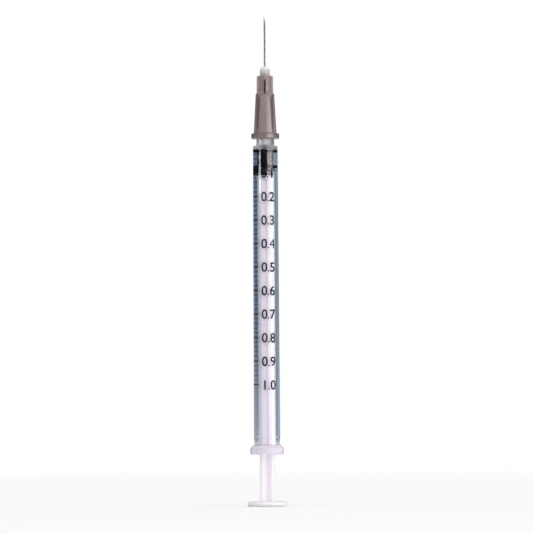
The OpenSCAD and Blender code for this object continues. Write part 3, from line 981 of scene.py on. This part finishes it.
def rod_mesh(rod, gasket):
    """Thumb rest, four ribs, round shoulder, and the neck and head that the gasket holds."""
    rest = disc(high("plunger_rod").x, 0, rod.thumb, rod.thumb_round)
    end_z = low("plunger_gasket").z - gasket.play
    shoulder_z = end_z - rod.shoulder
    head_z = low("plunger_gasket").z + gasket.lip + gasket.play
    top_z = head_z + rod.head_length
    neck_r, head_r, edge = rod.neck / 2, rod.head / 2, rod.rib_edge
    shoulder = turned([
        (0, shoulder_z), *rim_points(rod.reach, shoulder_z, end_z, edge),
        (neck_r, end_z), (neck_r, head_z), (head_r - edge, head_z), (head_r, head_z + edge),
        (head_r, head_z + rod.head_length * HEAD_STRAIGHT), (head_r * HEAD_END, top_z), (0, top_z),
    ])
    ribs = rib_cross(rod, rod.thumb / 2, end_z - rod.shoulder / 2)
    return combined(rest, [ribs, shoulder])


class SYRINGE_OT_rod(Operator):
    """Models the plunger rod with its thumb rest"""

    bl_idname = "syringe.rod"
    bl_label = "Plunger rod"
    bl_options = {"REGISTER", "UNDO"}

    def execute(self, context):
        settings = context.scene.syringe_rod
        bm = rod_mesh(Millimetres(settings), Millimetres(context.scene.syringe_gasket))
        finished("ribbed_rod", bm, "rod", milky_plastic(settings), ["plunger_rod"])
        return {"FINISHED"}


# Rounding of the lugs' corners as a share of the collar's
LUG_CORNER = 0.6
# How deep the inside of a grip panel lies in the cone, in millimetres
PANEL_SUNK = 1.1
# Width of the fins where they start in the cone, as a share of their width at their foot
FIN_START = 0.97
# How far the tool that hollows the hub runs past its ends, and the chamfer of the mouth
PAST_END, MOUTH_CHAMFER = 0.5, 0.12


def hub_core(hub):
    """Collar, cone, rounded step and nose, before they are hollowed."""
    mouth_z, end_z = low("needle_hub").z, high("needle_hub").z
    collar_r, base_r, top_r = hub.collar / 2, hub.cone_base / 2, hub.cone_top / 2
    nose_r, rim, fillet = hub.nose / 2, hub.nose_edge, hub.collar_edge / 2
    collar_z, cone_z = mouth_z + hub.collar_height, mouth_z + hub.cone_up
    step = top_r - nose_r
    step_z = cone_z + hub.step - step
    return turned([
        (0, mouth_z), *rim_points(collar_r, mouth_z, collar_z, hub.collar_edge),
        *arc(base_r + fillet, collar_z + fillet, fillet, 270, 180), (top_r, cone_z),
        *arc(nose_r, step_z, step, 0, 80, 8),
        *arc(nose_r - rim, end_z - rim, rim, 0, 90), (0, end_z),
    ])


def hub_lugs(hub):
    """The bar across the collar whose two ends are its lugs."""
    mouth_z, edge = low("needle_hub").z, hub.collar_edge
    bm = disc(high("needle_hub").x, mouth_z, mouth_z + hub.collar_height, edge)
    for side in (-1, 1):
        cut_away(bm, bm.faces[:], (0, side * hub.lug / 2, 0), Vector((0, side, 0)))
    corners = sharp_edges(bm, 40, lambda e: abs(abs(e.verts[0].co.y) - hub.lug / 2) < TOUCH)
    soften(bm, corners, edge * LUG_CORNER)
    return bm


def grip_panel(hub, turn):
    """One curved grip panel with an arched end and soft edges, sunk into the cone."""
    low_z = low("needle_hub").z + hub.collar_height - hub.collar_edge
    cone_z = low("needle_hub").z + hub.cone_up
    base_r = hub.cone_base / 2 + hub.panel_out_base
    top_r = hub.cone_top / 2 + hub.panel_out_top
    bm = bmesh.new()
    bmesh.ops.create_grid(bm, x_segments=14, y_segments=26, size=1)
    for vert in bm.verts:
        u, v = vert.co.x, (vert.co.y + 1) / 2
        z = low_z + v * (cone_z + hub.arch * (1 - u * u) - low_z)
        up = (z - low_z) / (cone_z - low_z)
        half = hub.panel_base / 2 + (hub.panel_top - hub.panel_base) / 2 * min(1, up)
        radius = base_r + (top_r - base_r) * (z - low_z) / (cone_z + hub.arch - low_z)
        x = u * half
        vert.co = (x, -(radius * radius - x * x) ** 0.5, z)
    inner = set(grow(bm, bm.faces[:], (0, PANEL_SUNK, 0), use_keep_orig=True))
    bmesh.ops.recalc_face_normals(bm, faces=bm.faces)
    outer = {f for f in bm.faces if inner.isdisjoint(f.verts)}
    rim = [e for e in bm.edges if len(outer.intersection(e.link_faces)) == 1]
    soften(bm, rim, hub.panel_edge)
    swing(bm, turn)
    return bm


def fin_pair(hub, turn):
    """Two fins in one sheet, tapering upwards, with round outer corners and soft edges."""
    foot_z = low("needle_hub").z + hub.cone_up - hub.arch
    top_z = low("needle_hub").z + hub.cone_up + hub.fin_length
    bm = bmesh.new()
    bmesh.ops.create_cube(bm, size=1)
    for vert in bm.verts:
        across = hub.fin_top if vert.co.z > 0 else hub.fin_base * FIN_START
        vert.co = (vert.co.x * across, vert.co.y * hub.fin, top_z if vert.co.z > 0 else foot_z)
    corners = [e for e in bm.edges if all(v.co.z > foot_z + TOUCH for v in e.verts)
               and abs(e.verts[0].co.x - e.verts[1].co.x) < TOUCH]
    soften(bm, corners, hub.fin_round, 6)
    soften(bm, sharp_edges(bm, 60, lambda e: max(v.co.z for v in e.verts) > foot_z + TOUCH),
           hub.fin_edge)
    swing(bm, turn)
    return bm


def hub_hollow(hub):
    """The socket, the funnel, the hole for the needle and the well for the glue."""
    mouth_z, end_z = low("needle_hub").z, high("needle_hub").z
    socket_z, chamfer_z = mouth_z + hub.socket, mouth_z + MOUTH_CHAMFER
    hole_r = high("needle_cannula").x + Millimetres(bpy.context.scene.syringe_needle).bond
    mouth_r, chamfer_r, socket_r = (nozzle_radius(z) + hub.gap
                                    for z in (mouth_z, chamfer_z, socket_z))
    well_r = hub.nose / 2 - hub.rim
    return turned([
        (0, mouth_z - PAST_END), (mouth_r + MOUTH_CHAMFER, mouth_z - PAST_END),
        (mouth_r + MOUTH_CHAMFER, mouth_z), (chamfer_r, chamfer_z), (socket_r, socket_z),
        (hole_r, socket_z + hub.funnel), (hole_r, end_z - hub.well), (well_r, end_z),
        (well_r, end_z + PAST_END), (0, end_z + PAST_END),
    ])


def hub_mesh(hub):
    """The whole hub: collar with lugs, cone with four grip panels, fins and nose, hollowed."""
    quarter = pi / 2
    panels = [grip_panel(hub, i * quarter) for i in range(4)]
    fins = [fin_pair(hub, i * quarter) for i in range(2)]
    solid = combined(hub_core(hub), [hub_lugs(hub), *panels, *fins])
    return combined(solid, [hub_hollow(hub)], "DIFFERENCE")


class SYRINGE_OT_hub(Operator):
    """Models the needle hub with its collar, lugs, grip panels, fins and socket"""

    bl_idname = "syringe.hub"
    bl_label = "Needle hub"
    bl_options = {"REGISTER", "UNDO"}

    def execute(self, context):
        settings = context.scene.syringe_hub
        finished("finned_hub", hub_mesh(Millimetres(settings)), "needle",
                 hub_plastic(settings), ["needle_hub"])
        return {"FINISHED"}


# Chamfer of the steel tube's blunt end, and reach of the blocks that cut its point, in millimetres
BLUNT_CHAMFER, WEDGE_REACH = 0.02, 12
# Outline of the glue bead: share of its radius and of its rise, up to where it meets the tube
BEAD = ((1, 0), (0.97, 0.16), (0.86, 0.38), (0.68, 0.57), (0.47, 0.72), (0.32, 0.84))
# Width of the thin edge of glue on the tube, and the share of the rise where it starts
BEAD_EDGE, BEAD_EDGE_UP = 0.06, 0.93


def bevel_wedge(slope, turn, tube_r, point_z):
    """A block whose near side is a sloping plane through the point of the tube."""
    bm = bmesh.new()
    bmesh.ops.create_cube(bm, size=2 * WEDGE_REACH)
    bmesh.ops.translate(bm, vec=(WEDGE_REACH, 0, 0), verts=bm.verts)
    spot = Matrix.Translation((-tube_r * cos(turn), 0, point_z))
    bm.transform(Matrix.Rotation(turn, 4, "Z") @ spot @ Matrix.Rotation(-slope, 4, "Y"))
    return bm


def tube_mesh(settings):
    """The steel tube with its long main bevel and two steeper ones."""
    tube_r = high("needle_cannula").x
    low_z, point_z = low("needle_cannula").z, high("needle_cannula").z
    lumen_r = Millimetres(settings).lumen / 2
    bm = turned([(lumen_r, low_z), (tube_r - BLUNT_CHAMFER, low_z), (tube_r, low_z + BLUNT_CHAMFER),
                 (tube_r, point_z), (lumen_r, point_z)], closed=True, around=64)
    wedges = [(settings.bevel, 0), (settings.side_bevel, -settings.side_turn),
              (settings.side_bevel, settings.side_turn)]
    return combined(bm, [bevel_wedge(slope, turn, tube_r, point_z) for slope, turn in wedges],
                    "DIFFERENCE")


class SYRINGE_OT_tube(Operator):
    """Models the steel tube with its bevelled point"""

    bl_idname = "syringe.tube"
    bl_label = "Steel tube"
    bl_options = {"REGISTER", "UNDO"}

    def execute(self, context):
        settings = context.scene.syringe_needle
        finished("steel_tube", tube_mesh(settings), "needle",
                 needle_steel(settings), ["needle_cannula"])
        return {"FINISHED"}


def glue_mesh(needle, hub):
    """The glue in the well, and its bead that creeps up the tube."""
    bead_r, top_z = high("needle_adhesive").x, high("needle_adhesive").z
    low_z, nose_z = low("needle_adhesive").z, high("needle_hub").z
    hole_r = high("needle_cannula").x + needle.bond
    well_r = hub.nose / 2 - hub.rim - needle.bond
    rise = top_z - nose_z
    bead = [(bead_r * out, up) for out, up in BEAD]
    bead += [(hole_r + BEAD_EDGE, BEAD_EDGE_UP), (hole_r, 1)]
    return turned([(hole_r, low_z), (well_r, nose_z), *((r, nose_z + rise * up) for r, up in bead)],
                  closed=True, around=96)


class SYRINGE_OT_glue(Operator):
    """Models the glue that holds the tube in the hub"""

    bl_idname = "syringe.glue"
    bl_label = "Glue"
    bl_options = {"REGISTER", "UNDO"}

    def execute(self, context):
        settings = context.scene.syringe_needle
        bm = glue_mesh(Millimetres(settings), Millimetres(context.scene.syringe_hub))
        finished("glue_bead", bm, "needle", cured_glue(settings), ["needle_adhesive"],
                 crease=60)
        return {"FINISHED"}


# Reach of the floor and height of the cards and of the strip, in metres
FLOOR_REACH, CARD_HEIGHT, STRIP_HEIGHT = 5, 3, 0.4
# Heights between which the strip's light comes up and goes down again, in metres
STRIP_RISE, STRIP_FALL = (0.16, 0.175), (0.19, 0.2)
# Heights between which a card goes to its far colour and then to its high one, in metres
CARD_RISE, CARD_TOP = (0, 0.1), (0.4, 1.0)
CARD_HIGH = (0.8, 0.82, 0.85)
# Upward part of a direction at which the horizon has gone over into the surroundings
HORIZON_END = 0.035


def add_camera(stage):
    """The camera, a little higher than the finger flange and looking slightly up."""
    data = bpy.data.cameras.new("camera")
    data.lens = stage.lens
    data.sensor_width = 36
    data.clip_start, data.clip_end = 0.01, 10
    camera = linked("camera", data)
    aim = Vector((stage.aside, 0, stage.aim))
    back = Vector((0, -cos(stage.tilt), -sin(stage.tilt)))
    camera.location = aim + back * stage.distance
    camera.rotation_euler = (
        (-back).to_track_quat("-Z", "Y").to_matrix() @ Matrix.Rotation(-stage.roll, 3, "Z")
    ).to_euler()
    bpy.context.scene.camera = camera


def round_about(azimuth, distance, z):
    """A place at an azimuth in degrees, from the camera's side towards +X."""
    return distance * sin(radians(azimuth)), -distance * cos(radians(azimuth)), z


def add_lamp(name, azimuth, wide, low_z, high_z, strength, tint, distance):
    """An upright soft lamp."""
    data = bpy.data.lights.new(name, "AREA")
    data.shape = "RECTANGLE"
    data.size, data.size_y = wide, high_z - low_z
    data.color = tint
    data.energy = strength * data.size * data.size_y * pi
    lamp = linked(name, data)
    lamp.location = round_about(azimuth, distance, (low_z + high_z) / 2)
    facing = Vector((lamp.location.x, lamp.location.y, 0))
    lamp.rotation_euler = facing.to_track_quat("Z", "Y").to_euler()
    lamp.visible_camera = False


def light_world(stage):
    """White behind the object, dark slate in gloss, and a soft light from all round."""
    world = bpy.data.worlds.new("surroundings")
    bpy.context.scene.world = world
    world.use_nodes = True
    sky = Nodes(world.node_tree, "Generated")
    gloss = sky.mixed(sky.ranged(sky.axis("Z"), 0, HORIZON_END, smooth=True),
                      stage.horizon, stage.surroundings)
    soft = sky.mixed(sky.ranged(sky.axis("X"), -1, 1), [stage.ambient - stage.sideways] * 3,
                     [stage.ambient + stage.sideways] * 3)
    mirrored = sky.times(
        sky.none_of(sky.ray("Diffuse Depth")),
        sky.calc("MAXIMUM", sky.ray("Is Glossy Ray"), sky.ray("Is Transmission Ray")))
    light = sky.mixed(sky.shown(), sky.mixed(mirrored, soft, gloss), WHITE)
    sky.link(light, sky.tree.nodes["Background"].inputs["Color"])


def staged(name, bm, material, unseen=(), body=None):
    """Makes a stage piece of a bmesh, unseen by some kinds of rays, riding on a body if named."""
    mesh = meshed(name, bm)
    mesh.materials.append(material)
    piece = linked(name, mesh)
    for kind in unseen:
        setattr(piece, f"visible_{kind}", False)
    if body:
        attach(piece, body)


def add_strip(azimuth, wide, strength, distance):
    """An upright strip of light that only gloss shows. It fades out above and below."""
    bm = bmesh.new()
    bmesh.ops.create_grid(bm, x_segments=1, y_segments=1, size=0.5)
    for vert in bm.verts:
        vert.co = (vert.co.x * wide, -distance, (vert.co.y + 0.5) * STRIP_HEIGHT)
    swing(bm, radians(azimuth))
    finish = Finish("strip")
    z = finish.axis("Z")
    shade = finish.mixed(finish.ranged(z, *STRIP_FALL, smooth=True), (0.98, 0.98, 1.0), BLACK)
    shade = finish.mixed(finish.ranged(z, *STRIP_RISE, smooth=True), BLACK, shade)
    finish.glow(shade, strength)
    staged("strip", bm, finish.material, ("camera", "diffuse", "transmission", "shadow"))


def add_card(name, start, end, near, far, distance, white=False):
    """A card behind the syringe that only clear pieces show, lighter near the floor and high up.

    A white one looks white straight through something clear, and has its own colours only for
    light that has turned inside the clear wall.
    """
    bm = bmesh.new()
    foot = [bm.verts.new(round_about(start, distance, z)) for z in (0, CARD_HEIGHT)]
    spun(bm, [*foot, bm.edges.new(foot)], radians(end) - radians(start), 12)
    finish = Finish(name)
    z = finish.axis("Z")
    shade = finish.mixed(finish.ranged(z, *CARD_RISE, smooth=True), near, far)
    shade = finish.mixed(finish.ranged(z, *CARD_TOP, smooth=True), shade, CARD_HIGH)
    if white:
        shade = finish.mixed(finish.shown(), shade, WHITE)
    finish.glow(shade)
    staged(name, bm, finish.material, ("camera", "diffuse", "glossy", "shadow"))


def add_floor():
    """A pale floor that keeps the shadow, and sinks with the thumb rest that stands on it."""
    bm = bmesh.new()
    bmesh.ops.create_grid(bm, x_segments=1, y_segments=1, size=FLOOR_REACH)
    finish = Finish("floor_paper")
    finish.set(Base_Color=(0.8, 0.8, 0.8, 1), Roughness=0.9, Specular_IOR_Level=0,
               Emission_Color=(1, 1, 1, 1))
    away = finish.add("ShaderNodeVectorMath", operation="LENGTH")
    finish.link(finish.place, away.inputs[0])
    rise = finish.ranged(away.outputs["Value"], 0.1, 1.6, 0.225, 0.42, smooth=True)
    finish.link(finish.times(finish.shown(), rise), finish.shader.inputs["Emission Strength"])
    staged("floor", bm, finish.material, body="rod")


class SYRINGE_OT_stage(Operator):
    """Sets the camera, the floor, the lamps and the white surroundings"""

    bl_idname = "syringe.stage"
    bl_label = "Stage"
    bl_options = {"REGISTER", "UNDO"}

    def execute(self, context):
        stage = context.scene.syringe_stage
        away = stage.lamp_distance
        behind = away * 1.5
        add_camera(stage)
        add_floor()
        light_world(stage)
        add_lamp("key", azimuth=47, wide=1.3, low_z=0.0, high_z=0.34, strength=4.2,
                 tint=(1.0, 0.92, 0.985), distance=away)
        add_strip(azimuth=-53, wide=0.46, strength=10.5, distance=away)
        add_card("left_card", -168, -110, (0.38, 0.43, 0.5), (0.145, 0.205, 0.285), behind)
        add_card("right_card", 150, 110, (0.38, 0.41, 0.5), (0.3, 0.35, 0.45), behind)
        add_card("backdrop", -168, -210, (0.62, 0.65, 0.69), (0.52, 0.56, 0.59), behind, True)
        context.scene.view_settings.view_transform = "Standard"
        return {"FINISHED"}


PIECE_OPERATORS = (SYRINGE_OT_barrel, SYRINGE_OT_scale, SYRINGE_OT_gasket, SYRINGE_OT_rod,
                   SYRINGE_OT_hub, SYRINGE_OT_tube, SYRINGE_OT_glue, SYRINGE_OT_stage)
SETTINGS = {
    "syringe_barrel": BarrelSettings, "syringe_scale": ScaleSettings,
    "syringe_gasket": GasketSettings, "syringe_rod": RodSettings, "syringe_hub": HubSettings,
    "syringe_needle": NeedleSettings, "syringe_stage": StageSettings,
}


class VIEW3D_PT_syringe(Panel):
    """Lists the operators and the settings of each piece"""

    bl_label = "Syringe"
    bl_idname = "VIEW3D_PT_syringe"
    bl_space_type = "VIEW_3D"
    bl_region_type = "UI"
    bl_category = "Syringe"

    def draw(self, context):
        for operator in PIECE_OPERATORS:
            self.layout.operator(operator.bl_idname)
        for name, group in SETTINGS.items():
            box = self.layout.box()
            box.label(text=name.replace("_", " ").capitalize())
            for prop in group.__annotations__:
                box.prop(getattr(context.scene, name), prop)


CLASSES = (*SETTINGS.values(), *PIECE_OPERATORS, VIEW3D_PT_syringe)


def register():
    """Registers the classes and hangs the settings on the scene."""
    for cls in CLASSES:
        bpy.utils.register_class(cls)
    for name, group in SETTINGS.items():
        setattr(bpy.types.Scene, name, PointerProperty(type=group))


def unregister():
    """Takes the settings and the classes away again."""
    for name in SETTINGS:
        delattr(bpy.types.Scene, name)
    for cls in reversed(CLASSES):
        bpy.utils.unregister_class(cls)


def main():
    """Makes every piece and the stage."""
    register()
    bpy.ops.syringe.barrel()
    bpy.ops.syringe.scale()
    bpy.ops.syringe.gasket()
    bpy.ops.syringe.rod()
    bpy.ops.syringe.hub()
    bpy.ops.syringe.tube()
    bpy.ops.syringe.glue()
    bpy.ops.syringe.stage()


if __name__ == "__main__":
    main()
